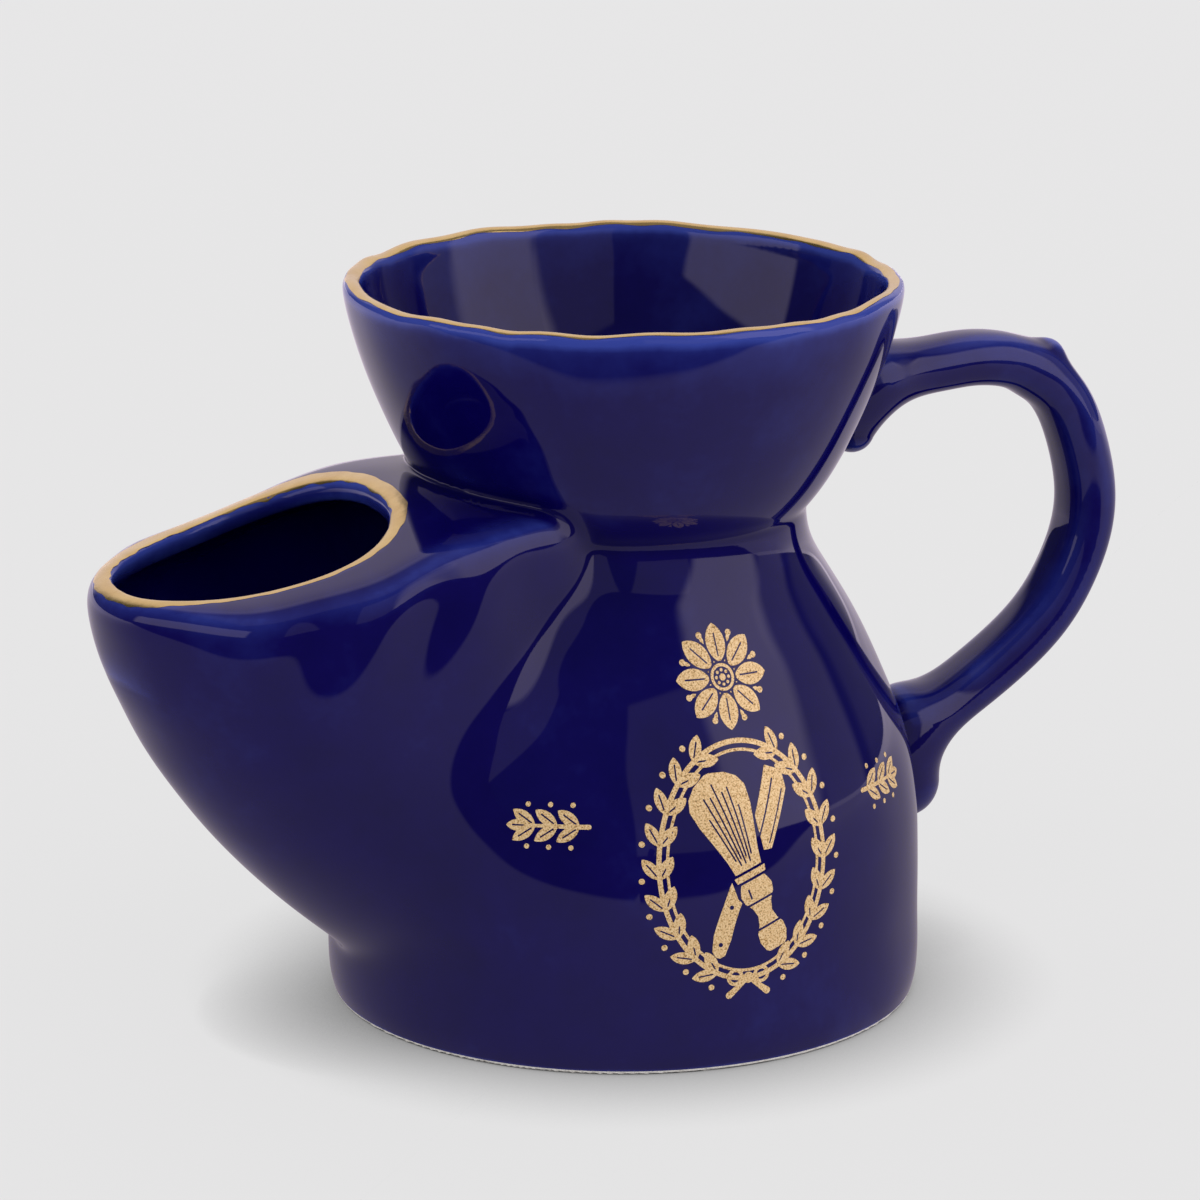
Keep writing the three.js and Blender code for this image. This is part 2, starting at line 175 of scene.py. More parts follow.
# The soft arris along both flanks of the handle: height, distance outwards and half width.
ARRIS_HIGH, ARRIS_OUT, ARRIS_WIDE = 0.15, 0.5, 1.3


# ------------------------------------------------------------------ smooth curves and blends
class Table:
    """A smooth curve through knots, sampled finely enough to be read by plain interpolation."""

    STEP = 0.05

    def __init__(self, knots, soften=1.0):
        x, y = np.array(knots, float).T
        self.x = np.arange(x[0], x[-1], self.STEP)
        slope = np.gradient(y, x)
        i = np.clip(np.searchsorted(x, self.x, side="right") - 1, 0, len(x) - 2)
        h = x[i + 1] - x[i]
        t = (self.x - x[i]) / h
        self.y = (
            (1 + 2 * t) * (1 - t) ** 2 * y[i] + t * (1 - t) ** 2 * h * slope[i]
            + t * t * (3 - 2 * t) * y[i + 1] + t * t * (t - 1) * h * slope[i + 1]
        )
        reach = int(3 * soften / self.STEP)
        kernel = np.exp(-0.5 * (np.arange(-reach, reach + 1) * self.STEP / soften) ** 2)
        padded = np.pad(self.y, reach, mode="reflect", reflect_type="odd")
        self.y = np.convolve(padded, kernel / kernel.sum(), mode="valid")
        self.slope = np.gradient(self.y, self.STEP)

    def __call__(self, at):
        return np.interp(at, self.x, self.y)

    def rise(self, at):
        return np.interp(at, self.x, self.slope)


def smooth_min(a, b, k):
    h = np.maximum(k - np.abs(a - b), 0) / k
    return np.minimum(a, b) - h * h * h * k / 6


def smooth_max(a, b, k):
    return -smooth_min(-a, -b, k)


# ------------------------------------------------------------------ turned body
tank_radius = Table(TANK_OUTLINE, 1.2)
bowl_radius = Table(BOWL_OUTLINE, 1.2)
pouch_reach = Table(POUCH_REACH, 1.5)
pouch_half = Table(POUCH_HALF, 1.5)
pouch_blend = Table(POUCH_BLEND, 2.0)
deck_line = Table(DECK_LINE, 1.5)


def body_radius(z):
    return smooth_max(tank_radius(z), bowl_radius(z), CREASE_ROUND)


def turned(r, z, inset=0.0):
    """Distance to the turned outside, or to that outline moved in by inset."""
    rise = (body_radius(z + 0.05) - body_radius(z - 0.05)) / 0.1
    return (r - body_radius(z)) / np.sqrt(1 + rise * rise) + inset


def lip_wave(angle):
    """How far the hand-finished lip rises and falls round the bowl."""
    dip = LIP_DIP * np.exp(LIP_DIP_SHARP * (np.cos(angle + LIP_DIP_TURN) - 1))
    return sum(
        high * np.sin(turns * angle + phase + bend * np.sin(bends * angle))
        for high, turns, phase, bend, bends in LIP_WAVES
    ) - dip


# ------------------------------------------------------------------ brush pouch
def slice_ratio(x, y, z):
    """1 on the pouch's outside, less within it: a level slice is two half ellipses."""
    half = pouch_half(z)
    front = half * POUCH_FRONT
    middle = front - pouch_reach(z)
    along = (x - middle) / np.where(x < middle, front, half * POUCH_BACK)
    return np.sqrt(along ** 2 + (y / half) ** 2 + 1e-9)


def pouch_side(x, y, z):
    step = 0.1
    ratio = slice_ratio(x, y, z)
    gx = slice_ratio(x + step, y, z) - slice_ratio(x - step, y, z)
    gy = slice_ratio(x, y + step, z) - slice_ratio(x, y - step, z)
    gz = slice_ratio(x, y, z + step) - slice_ratio(x, y, z - step)
    steep = np.sqrt(gx * gx + gy * gy + gz * gz) / (2 * step)
    return (ratio - 1) / np.maximum(steep, 1e-3)


def past_brow(x, y):
    """How far a point lies beyond the brow where the deck rolls away behind the mouth."""
    return np.maximum(y - DECK_BROW + BROW_SWING * np.maximum(x - BROW_START, 0), 0)


def deck_height(x, y):
    past = past_brow(x, y)
    return deck_line(x - MOUTH_X) - DECK_FALL * y * y - DECK_DROP * past * past


def above_deck(x, y, z):
    rise = deck_line.rise(x - MOUTH_X)
    fall = 2 * DECK_FALL * y + 2 * DECK_DROP * past_brow(x, y)
    return (z - deck_height(x, y)) / np.sqrt(1 + rise * rise + fall * fall)


def mouth_point(angle, shrink):
    """A point of the mouth's oval, and its height on the deck."""
    c, s = np.cos(angle), np.sin(angle)
    along = (MOUTH_A - shrink) * np.sign(c) * np.abs(c) ** (2 / MOUTH_POWER)
    across = (MOUTH_B - shrink) * np.sign(s) * np.abs(s) ** (2 / MOUTH_POWER)
    across = across * (1 + MOUTH_EGG * along / MOUTH_A)
    x = MOUTH_X + along
    return x, across, deck_height(x, across)


def mouth_side(x, y, shrink):
    """Distance to the upright wall of the mouth, negative within the opening."""
    a, b = MOUTH_A - shrink, MOUTH_B - shrink
    along = (x - MOUTH_X) / a
    across = y / (b * np.maximum(1 + MOUTH_EGG * np.clip(along, -1.3, 1.3), 0.3))
    ratio = (np.abs(along) ** MOUTH_POWER + np.abs(across) ** MOUTH_POWER + 1e-9) ** (1 / MOUTH_POWER)
    return (ratio - 1) * (a + b) / 2


# ------------------------------------------------------------------ handle
class PlaneCurve:
    """A smooth curve in the x-z plane that can be asked for its nearest point."""

    COARSE = 12

    def __init__(self, points):
        self.points = np.array(points, float)
        n = len(self.points)
        system = 4 * np.eye(n) + np.eye(n, k=1) + np.eye(n, k=-1)
        system[0, 0] = system[-1, -1] = 2
        ahead = np.vstack([self.points[1:], self.points[-1:]])
        behind = np.vstack([self.points[:1], self.points[:-1]])
        self.slopes = np.linalg.solve(system, 3 * (ahead - behind))
        self.length = n - 1
        self.samples = np.linspace(0, self.length, self.length * self.COARSE + 1)
        self.places = self.at(self.samples)[0]

    def at(self, t):
        i = np.clip(t.astype(int), 0, self.length - 1)
        u = (t - i)[:, None]
        p, q = self.points[i], self.points[i + 1]
        m, n = self.slopes[i], self.slopes[i + 1]
        b = 3 * (q - p) - 2 * m - n
        c = 2 * (p - q) + m + n
        return p + u * (m + u * (b + u * c)), m + u * (2 * b + 3 * u * c), 2 * b + 6 * u * c

    def nearest(self, xz):
        best = np.full(len(xz), np.inf)
        t = np.zeros(len(xz))
        for sample, place in zip(self.samples, self.places):
            d = ((xz - place) ** 2).sum(1)
            closer = d < best
            best = np.where(closer, d, best)
            t = np.where(closer, sample, t)
        for _ in range(3):
            place, first, second = self.at(t)
            gap = place - xz
            down = (gap * first).sum(1)
            curve = np.maximum((first * first).sum(1) + (gap * second).sum(1), 0.2)
            t = np.clip(t - np.clip(down / curve, -0.3, 0.3), 0, self.length)
        place, first, _ = self.at(t)
        gap = xz - place
        side = first[:, ::-1] * np.array([-1.0, 1.0])
        side /= np.linalg.norm(side, axis=1)[:, None]
        return t, (gap * side).sum(1), np.linalg.norm(gap, axis=1)


handle_curve = PlaneCurve(HANDLE_LINE)


def capsule(p, start, end, start_r, end_r, widen):
    """Distance to a tapered rod in the x-z plane, widened across."""
    a, b = np.array(start, float), np.array(end, float)
    q = p.copy()
    q[:, 1] = q[:, 1] / widen
    axis = b - a
    t = np.clip(((q - a) @ axis) / (axis @ axis), 0, 1)
    return np.linalg.norm(q - a - t[:, None] * axis, axis=1) - (start_r + t * (end_r - start_r))


def handle(p):
    _, out, gap = handle_curve.nearest(p[:, [0, 2]])
    thick = HANDLE_HALF_THICK
    u = gap * np.sign(out) / thick
    v = p[:, 1] / HANDLE_HALF_WIDTH
    n = HANDLE_SQUARE
    ratio = (np.abs(u) ** n + np.abs(v) ** n + 1e-9) ** (1 / n)
    loop = (ratio - 1) * (thick + HANDLE_HALF_WIDTH) / 2
    flank = np.clip(np.abs(v) * 2 - 1, 0, 1)
    loop -= ARRIS_HIGH * flank * np.exp(-((u * thick - ARRIS_OUT) / ARRIS_WIDE) ** 2)
    loop = smooth_min(loop, capsule(p, *THUMB_CORNER), CORNER_BLEND)
    loop = smooth_min(loop, capsule(p, *UPPER_PAD), PAD_BLEND)
    return smooth_min(loop, capsule(p, *LOWER_PAD), PAD_BLEND)


# ------------------------------------------------------------------ the whole glazed body
def in_box(p, low, high):
    return np.all((p > low) & (p < high), axis=1)


def hand_waves(p):
    """The hand-finished pouch's soft dents and swellings, strongest at its shoulder."""
    x, y, z = p.T
    dents = sum(weight * np.sin(a * x + c * z + b * y + phase) for weight, a, c, b, phase in DENTS)
    hip = np.exp(-((z - HIP_Z) / HIP_TALL) ** 2) * np.cos(HIP_PITCH * (x - HIP_X))
    return DENT_DEPTH * np.exp(-((z - DENT_Z) / DENT_SPREAD) ** 2) * dents - HIP_SWELL * hip


def outside(p):
    """Distance to the mug's outside, before it is hollowed."""
    x, y, z = p.T
    core = turned(np.hypot(x, y), z)
    near = in_box(p, *POUCH_BOX)
    d = core.copy()
    q = p[near]
    side = pouch_side(*q.T) + hand_waves(q)
    pouch = smooth_max(side, above_deck(*q.T), DECK_RIDGE)
    d[near] = smooth_min(core[near], pouch, pouch_blend(q[:, 2]))
    near = in_box(p, *HANDLE_BOX)
    d[near] = smooth_min(d[near], handle(p[near]), HANDLE_BLEND)
    return d


def hollow(p):
    """Distance to the hollows: soap bowl, water tank with the pouch, and the pouch's mouth."""
    x, y, z = p.T
    r = np.hypot(x, y)
    bowl = smooth_max(turned(r, z, BOWL_WALL), STRAINER_TOP - z, BOWL_FLOOR_ROUND)
    tank = smooth_max(turned(r, z, TANK_WALL), TANK_FLOOR_TOP - z, TANK_FLOOR_ROUND)
    tank = smooth_max(tank, z - STRAINER_LOW, TANK_TOP_ROUND)
    d = np.minimum(bowl, tank)
    near = in_box(p, *WELL_BOX)
    q = p[near]
    above = above_deck(*q.T)
    well = smooth_max(pouch_side(*q.T) + POUCH_WALL, above + DECK_THICK, WELL_ROUND)
    well = smooth_max(well, WELL_FLOOR_Z - q[:, 2], WELL_ROUND)
    well = np.maximum(well, q[:, 0] - WELL_END_X)
    well = np.maximum(well, -(turned(r[near], z[near], TANK_WALL)) - 1.5 * TANK_WALL)
    mouth = np.maximum(mouth_side(q[:, 0], q[:, 1], MOUTH_LEDGE), -above - MOUTH_DEPTH)
    pouch = smooth_min(well, mouth, MOUTH_ROUND)
    d[near] = np.minimum(d[near], pouch)
    return d


def drains(p):
    """Distance to the drain holes of the strainer and to the recess under the foot."""
    x, y, z = p.T
    angle = np.arctan2(y, x)
    sector = 2 * math.pi / DRAIN_COUNT
    turned_back = angle - sector * np.round(angle / sector)
    r = np.hypot(x, y)
    ring = np.hypot(r * np.cos(turned_back) - DRAIN_RING_R, r * np.sin(turned_back))
    hole = np.maximum(np.minimum(ring, r) - DRAIN_R, np.abs(z - STRAINER_TOP) - 6)
    recess = np.maximum(r - RECESS_R, z - RECESS_TOP)
    return np.minimum(hole, recess)


def glaze(p):
    x, y, z = p.T
    lip = z - LIP_Z - lip_wave(np.arctan2(y, x))
    d = smooth_max(outside(p), lip, LIP_ROUND)
    d = smooth_max(d, -hollow(p), INSIDE_ROUND)
    d = smooth_max(d, -drains(p), DRAIN_ROUND)
    return smooth_max(d, -z, FOOT_ROUND)


def slope(field, p, step=0.04):
    g = np.empty_like(p)
    for axis in range(3):
        move = np.zeros(3)
        move[axis] = step
        g[:, axis] = (field(p + move) - field(p - move)) / (2 * step)
    return g


def settle(field, p, rounds=3, level=0.0):
    """Moves points onto the surface where the field has that level."""
    for _ in range(rounds):
        g = slope(field, p)
        size = np.maximum((g * g).sum(1), 0.04)
        step = (field(p) - level) / size
        p = p - np.clip(step, -0.6, 0.6)[:, None] * g
    return p


# ------------------------------------------------------------------ meshes
def voxel_surface(field, low, high, size):
    """Triangles round the region where the field is negative; only cells near it are worked out."""
    block = 4
    low = np.array(low, float)
    blocks = np.ceil((np.array(high) - low) / (size * block)).astype(int)
    reach = size * block
    axes = [low[i] + reach * (np.arange(blocks[i]) + 0.5 - 0.5 / block) for i in range(3)]
    middles = np.stack(np.meshgrid(*axes, indexing="ij"), -1)
    rough = field(middles.reshape(-1, 3)).reshape(blocks)
    values = np.kron(rough, np.ones((block, block, block), np.float32)).astype(np.float32)
    near = np.argwhere(np.abs(rough) < 1.35 * reach)
    inner = np.stack(np.meshgrid(*[np.arange(block)] * 3, indexing="ij"), -1).reshape(-1, 3)
    for part in np.array_split(near, max(1, len(near) // 4000)):
        cells = (part[:, None, :] * block + inner[None]).reshape(-1, 3)
        values[tuple(cells.T)] = field(low + size * cells)
    grid = openvdb.FloatGrid()
    grid.copyFromArray(np.clip(values, -3, 3))
    points, triangles, quads = grid.convertToPolygons(isovalue=0.0, adaptivity=0.0)
    points = low + size * points.astype(float)
    faces = np.vstack([triangles, quads[:, [0, 1, 2]], quads[:, [0, 2, 3]]]).astype(int)
    return points, faces


def cut(points, faces, hidden, side):
    """Parts triangles along the line where side changes sign.

    Gives the points with the new ones, then the faces and their marks on either side."""
    value = side(points)
    value = np.where(np.abs(value) < 1e-5, 1e-5, value)
    sign = value > 0
    above = sign[faces].sum(1)
    low, high = above == 0, above == 3
    mixed = ~(low | high)
    crossed, marks = faces[mixed], hidden[mixed]
    lone = sign[crossed].sum(1) == 1
    odd = np.argmax(sign[crossed] == lone[:, None], axis=1)
    turn = (odd[:, None] + np.arange(3)) % 3
    a, b, c = np.take_along_axis(crossed, turn, 1).T
    ends = np.sort(np.vstack([np.stack([a, b], 1), np.stack([a, c], 1)]), axis=1)
    edges, where = np.unique(ends, axis=0, return_inverse=True)
    start, end = value[edges[:, 0]], value[edges[:, 1]]
    share = (start / (start - end))[:, None]
    fresh = points[edges[:, 0]] * (1 - share) + points[edges[:, 1]] * share
    p, q = (where.ravel() + len(points)).reshape(2, -1)
    tip = np.stack([a, p, q], 1)
    rest = np.vstack([np.stack([p, b, c], 1), np.stack([p, c, q], 1)])
    twice, marks_twice = np.concatenate([lone, lone]), np.concatenate([marks, marks])
    below = np.vstack([faces[low], tip[~lone], rest[twice]])
    below_marks = np.concatenate([hidden[low], marks[~lone], marks_twice[twice]])
    beyond = np.vstack([faces[high], tip[lone], rest[~twice]])
    beyond_marks = np.concatenate([hidden[high], marks[lone], marks_twice[~twice]])
    return np.vstack([points, fresh]), (below, below_marks), (beyond, beyond_marks)


def loops(edges):
    """Groups edges that hang together."""
    group = {}
    for i, j in edges.tolist():
        a, b = group.setdefault(i, [i]), group.setdefault(j, [j])
        if a is not b:
            small, large = sorted((a, b), key=len)
            large.extend(small)
            for k in small:
                group[k] = large
    heads = np.array([id(group[i]) for i in edges[:, 0].tolist()])
    return [edges[heads == head] for head in np.unique(heads)]


def fill(points, edges, faces):
    """Faces across the loops of edges, wound to close the piece that has those faces."""
    bm = bmesh.new()
    used, places = np.unique(edges, return_inverse=True)
    corners = [bm.verts.new(points[i]) for i in used]
    for i, j in places.reshape(-1, 2).tolist():
        bm.edges.new((corners[i], corners[j]))
    bm.verts.index_update()
    bmesh.ops.triangle_fill(bm, edges=bm.edges[:], use_beauty=True)
    bmesh.ops.recalc_face_normals(bm, faces=bm.faces[:])
    found = np.array([[used[v.index] for v in f.verts] for f in bm.faces], int).reshape(-1, 3)
    bm.free()
    rim = np.isin(faces, used).sum(1) > 1
    forward = set(map(tuple, faces[rim][:, [0, 1, 1, 2, 2, 0]].reshape(-1, 2).tolist()))
    for island in loops(found[:, [0, 1, 1, 2, 2, 0]].reshape(-1, 2)):
        ends = island.tolist()
        votes = sum(((b, a) in forward) - ((a, b) in forward) for a, b in ends)
        if votes < 0:
            turned_over = np.isin(found[:, 0], island)
            found[turned_over] = found[turned_over, ::-1]
    return found


def close(points, faces, hidden, apart=False):
    """Closes a cut piece with hidden joint faces, across all its open loops or each on its own."""
    edges = np.sort(faces[:, [0, 1, 1, 2, 2, 0]].reshape(-1, 2), axis=1)
    edges, counts = np.unique(edges, axis=0, return_counts=True)
    edges = edges[counts == 1]
    for loop in loops(edges) if apart else [edges]:
        found = fill(points, loop, faces)
        faces = np.vstack([faces, found])
        hidden = np.concatenate([hidden, np.ones(len(found), bool)])
    return faces, hidden


def part_in_two(points, piece, side, apart=False):
    """Cuts a closed piece in two closed pieces: where side is negative, and where it is positive."""
    points, low, high = cut(points, *piece, side)
    return points, close(points, *low, apart), close(points, *high, apart)


def core_clearance(p):
    """How far a point stands outside the turned body, less the thickness left to that body."""
    return np.hypot(p[:, 0], p[:, 1]) - body_radius(p[:, 2]) - CORE_SKIN


def beyond(positive):
    """Marks what stands off the turned body on the handle's side (+1) or the pouch's side (-1)."""
    return lambda p: np.where(p[:, 0] * positive > 0, core_clearance(p), -1.0)


def disc(radius, flare, low, high):
    """A disc whose edge flares upwards, so that its joint with the wall round it is a cone."""
    return lambda p: np.maximum(
        np.hypot(p[:, 0], p[:, 1]) - radius - flare * (p[:, 2] - low), p[:, 2] - high)


def glazed_pieces():
    points, faces = voxel_surface(glaze, *WHOLE_BOX, VOXEL)
    points = settle(glaze, points)
    whole = (faces, np.zeros(len(faces), bool))
    pieces = {}
    points, rest, pouch = part_in_two(points, whole, beyond(-1))
    points, pieces["brush_pouch"], pieces["pouch_deck"] = part_in_two(
        points, pouch, lambda p: above_deck(*p.T) + DECK_THICK + DECK_SEAM)
    points, core, loop = part_in_two(points, rest, beyond(1), apart=True)
    along = lambda p: handle_curve.nearest(p[:, [0, 2]])[0]
    points, pieces["handle_upper_root"], loop = part_in_two(
        points, loop, lambda p: along(p) - UPPER_ROOT_END)
    points, pieces["handle_loop"], pieces["handle_lower_root"] = part_in_two(
        points, loop, lambda p: along(p) - LOWER_ROOT_END)
    points, pieces["foot_ring"], core = part_in_two(points, core, lambda p: p[:, 2] - FOOT_TOP)
    points, tank, core = part_in_two(points, core, lambda p: p[:, 2] - NECK_LOW)
    points, pieces["tank_floor"], pieces["tank_wall"] = part_in_two(
        points, tank, disc(FLOOR_DISC_R, 1.0, 0.0, TANK_FLOOR_TOP + 3))
    points, pieces["neck_collar"], core = part_in_two(points, core, lambda p: p[:, 2] - NECK_HIGH)
    points, pieces["strainer_floor"], pieces["soap_bowl"] = part_in_two(
        points, core, disc(STRAINER_R, 0.5, NECK_HIGH, STRAINER_TOP + 3))
    return points, pieces


def glaze_normals(points):
    g = slope(glaze, points)
    return g / np.maximum(np.linalg.norm(g, axis=1), 1e-9)[:, None]


def thinness_and_sheen(points, normals, reach=1.1):
    """How thin the glaze has run, above 0 on ridges and under the lip; upward brows are lightened,
    partly as thinner glaze and partly as a painted highlight.
    """
    around = [glaze(points + reach * step) for step in np.vstack([np.eye(3), -np.eye(3)])]
    sharp = (sum(around) - 6 * glaze(points)) / (6 * reach)
    # Upward brows are lightened: partly thinner glaze, partly a painted highlight on the tops.
    brow_thin_and_sheen = np.clip(sharp / SHARP_BROW, 0, 1) ** 3 * np.maximum(normals[:, 2], 0)
    lip = np.clip((points[:, 2] - LIP_Z + LIP_RUN) / LIP_RUN, 0, 1)
    edge = np.clip((sharp - SHARP_EDGE) / SHARP_EDGE, 0, 1)
    return sharp + BROW_THIN_AND_SHEEN * brow_thin_and_sheen + EDGE_THIN * edge + LIP_THIN * lip * lip * (3 - 2 * lip)


def make_piece(name, points, faces, hidden, normals, values, material):
    used, index = np.unique(faces, return_inverse=True)
    index = index.reshape(-1, 3)
    mesh = bpy.data.meshes.new(name)
    mesh.from_pydata((points[used] * MM).tolist(), [], index.tolist())
    mesh.attributes.new("thin_and_sheen", "FLOAT", "POINT").data.foreach_set("value", values[used])
    mesh.shade_smooth()
    corner = normals[faces]
    a, b, c = points[faces[hidden]].transpose(1, 0, 2)
    flat = np.cross(b - a, c - a)
    flat /= np.maximum(np.linalg.norm(flat, axis=1), 1e-9)[:, None]
    corner[hidden] = flat[:, None, :]
    mesh.normals_split_custom_set(corner.reshape(-1, 3).tolist())
    mesh.materials.append(material)
    piece = bpy.data.objects.new(name, mesh)
    bpy.context.scene.collection.objects.link(piece)
    return piece


# ------------------------------------------------------------------ gilt bands
def along_ray(start, way, level, rounds=9):
    """Points where rays out of the porcelain reach that level of the glaze's distance."""
    s = np.full(len(start), 1.3)
    for _ in range(rounds):
        here = glaze(start + s[:, None] * way)
        ahead = glaze(start + (s + 0.02)[:, None] * way)
        s -= np.clip((here - level) / np.maximum((ahead - here) / 0.02, 0.25), -0.5, 0.5)
    return start + s[:, None] * way


def closed_sheet(name, node_name, top, faces, material):
    """A closed gilt layer from its top face, with an underside sunk just into the glaze."""
    ends = faces[:, [0, 1, 1, 2, 2, 0]].reshape(-1, 2)
    _, index, counts = np.unique(np.sort(ends, axis=1), axis=0, return_inverse=True, return_counts=True)
    rim = ends[counts[index.ravel()] == 1]
    shift = len(top)
    i, j = rim.T
    walls = np.vstack([np.stack([j, i, i + shift], 1), np.stack([j, i + shift, j + shift], 1)])
    normals = glaze_normals(top)
    points = np.vstack([top, top - (GILT_TOP - GILT_UNDER) * normals])
    every = np.vstack([faces, faces[:, ::-1] + shift, walls])
    hidden = np.arange(len(every)) >= 2 * len(faces)
    normals = np.vstack([normals, -normals])
    piece = make_piece(name, points, every, hidden, normals, np.zeros(len(points)), material)
    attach(piece, "root")
    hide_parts(node_name)


def ring_faces(around, across):
    """Triangles of a strip that closes on itself, from rows of across points."""
    i, k = np.meshgrid(np.arange(around), np.arange(across - 1), indexing="ij")
    a = (i * across + k).ravel()
    b = (((i + 1) % around) * across + k).ravel()
    return np.vstack([np.stack([a, b, b + 1], 1), np.stack([a, b + 1, a + 1], 1)])


def brush_wobble(angle, phase):
    """The unsteady edge of a hand-laid gilt line, about -1 to 1."""
    return sum(high * np.sin(turns * angle + shift * phase) for high, turns, shift in BRUSH_WAVES)


def bowl_gilt_band():
    around, across = BAND_STEPS, 11
    angle = np.repeat(np.linspace(0, 2 * math.pi, around, endpoint=False), across)
    share = np.tile(np.linspace(0, 1, across), around)
    outer = BAND_OUTER + BAND_WOBBLE * brush_wobble(angle, 0.4)
    outer -= BAND_DRAWN_IN * np.maximum(np.cos(angle + BAND_DRAWN_TURN), 0) ** 3
    inner = BAND_INNER - BAND_WOBBLE * brush_wobble(angle, 1.9)
    lean = outer + (inner - outer) * share
    out = np.stack([np.cos(angle), np.sin(angle), np.zeros_like(angle)], 1)
    up = np.array([0.0, 0.0, 1.0])
    half = BOWL_WALL / 2
    heart = out * (body_radius(LIP_Z) - half) + up * (LIP_Z - half + lip_wave(angle))[:, None]
    way = out * np.sin(lean)[:, None] + up * np.cos(lean)[:, None]
    top = along_ray(heart, way, GILT_TOP)
    closed_sheet("gilt_bowl_band", "bowl_gilt_band", top, ring_faces(around, across), BAND_GOLD)


def pouch_gilt_band():
    around, across = BAND_STEPS, 9
    angle = np.repeat(np.linspace(0, 2 * math.pi, around, endpoint=False), across)
    share = np.tile(np.linspace(0, 1, across), around)
    outer = GILT_OUTER - GILT_OUTER_WOBBLE * brush_wobble(angle, 2.6)
    outer -= GILT_SPILL * np.maximum(np.sin(angle), 0) ** 2
    outer += GILT_DRAWN_IN * np.maximum(-np.sin(angle), 0) ** 2
    inner = GILT_WIDTH + GILT_INNER_WOBBLE * brush_wobble(angle, 0.9)
    x, y, z = mouth_point(angle, outer + (inner - outer) * share)
    heart = np.stack([x, y, z - 1.3], 1)
    way = np.tile([0.0, 0.0, 1.0], (len(x), 1))
    top = along_ray(heart, way, GILT_TOP)
    closed_sheet("gilt_pouch_band", "pouch_gilt_band", top, ring_faces(around, across), BAND_GOLD)


# ------------------------------------------------------------------ gilt ornament
# Flat patterns are distances too, negative in the gold; u runs across the front and v upwards.
def leaf(u, v, foot, angle, length, half, rib=True):
    """A pointed leaf with a bare midrib, growing from its foot in the direction of the angle."""
    c, s = math.cos(angle), math.sin(angle)
    along = (u - foot[0]) * c + (v - foot[1]) * s - length / 2
    across = np.abs((v - foot[1]) * c - (u - foot[0]) * s)
    bulge = (length ** 2 / 4 + half ** 2) / (2 * half)
    d = np.hypot(along, across + bulge - half) - bulge
    if rib:
        d = np.maximum(d, -np.maximum(across - 0.11, np.abs(along + 0.05 * length) - 0.3 * length))
    return d


def dot(u, v, at, radius):
    return np.hypot(u - at[0], v - at[1]) - radius


def stroke(u, v, start, end, half, end_half=None):
    """A straight stroke with round ends, tapering if its ends differ."""
    ax, ay = end[0] - start[0], end[1] - start[1]
    t = np.clip(((u - start[0]) * ax + (v - start[1]) * ay) / (ax * ax + ay * ay), 0, 1)
    width = half + t * ((half if end_half is None else end_half) - half)
    return np.hypot(u - start[0] - t * ax, v - start[1] - t * ay) - width


def outline_side(along, across, knots):
    """A shape symmetric about its axis, from (distance along the axis, half width) knots."""
    at, half = np.array(knots, float).T
    width = np.interp(along, at, half)
    side = (np.abs(across) - width) * 0.93
    return np.maximum(side, np.maximum(at[0] - along, along - at[-1]))


def turned_frame(u, v, foot, lean):
    """Distances along and across an axis that leaves its foot leaning from upright."""
    c, s = math.cos(lean), math.sin(lean)
    du, dv = u - foot[0], v - foot[1]
    return dv * c - du * s, du * c + dv * s


def oval_side(u, v, half_width, half_height):
    ratio = np.sqrt((u / half_width) ** 2 + ((v - WREATH_Z) / half_height) ** 2)
    steep = np.sqrt((u / half_width ** 2) ** 2 + ((v - WREATH_Z) / half_height ** 2) ** 2)
    return ratio * (ratio - 1) / np.maximum(steep, 1e-4)


def union(shapes):
    return np.minimum.reduce(shapes)


def wreath_pattern(u, v):
    side = oval_side(u, v, WREATH_HALF_WIDTH - 0.4, WREATH_HALF_HEIGHT - 0.4)
    shapes = [np.abs(side) - 0.34, np.abs(side + 1.15) - 0.2]
    for hand in (-1, 1):
        for i in range(LEAF_PAIRS):
            turn = -math.pi / 2 + (0.12 + 0.8 * i / LEAF_PAIRS) * math.pi
            foot = (
                hand * (WREATH_HALF_WIDTH - 0.4) * math.cos(turn),
                WREATH_Z + (WREATH_HALF_HEIGHT - 0.4) * math.sin(turn),
            )
            along = math.atan2(
                WREATH_HALF_HEIGHT * math.cos(turn), -hand * WREATH_HALF_WIDTH * math.sin(turn))
            for lean in (-LEAF_LEAN, LEAF_LEAN):
                shapes.append(leaf(u, v, foot, along + lean, 3.7, 0.86))
            shapes.append(dot(u, v, (foot[0] * 1.19, WREATH_Z + (foot[1] - WREATH_Z) * 1.13), 0.42))
    return union(shapes)


def bow_pattern(u, v):
    """Ribbon bow that ties the two branches together at the foot of the wreath."""
    knot = WREATH_Z - WREATH_HALF_HEIGHT + 0.4
    shapes = [dot(u, v, (0, knot), 0.8)]
    for hand in (-1, 1):
        loop = dot(u, v, (hand * 2.0, knot + 0.25), 1.25)
        shapes.append(np.maximum(loop, -(loop + 0.5)))
        shapes.append(stroke(u, v, (hand * 0.5, knot - 0.4), (hand * 2.9, knot - 2.3), 0.28, 0.5))
    return union(shapes)


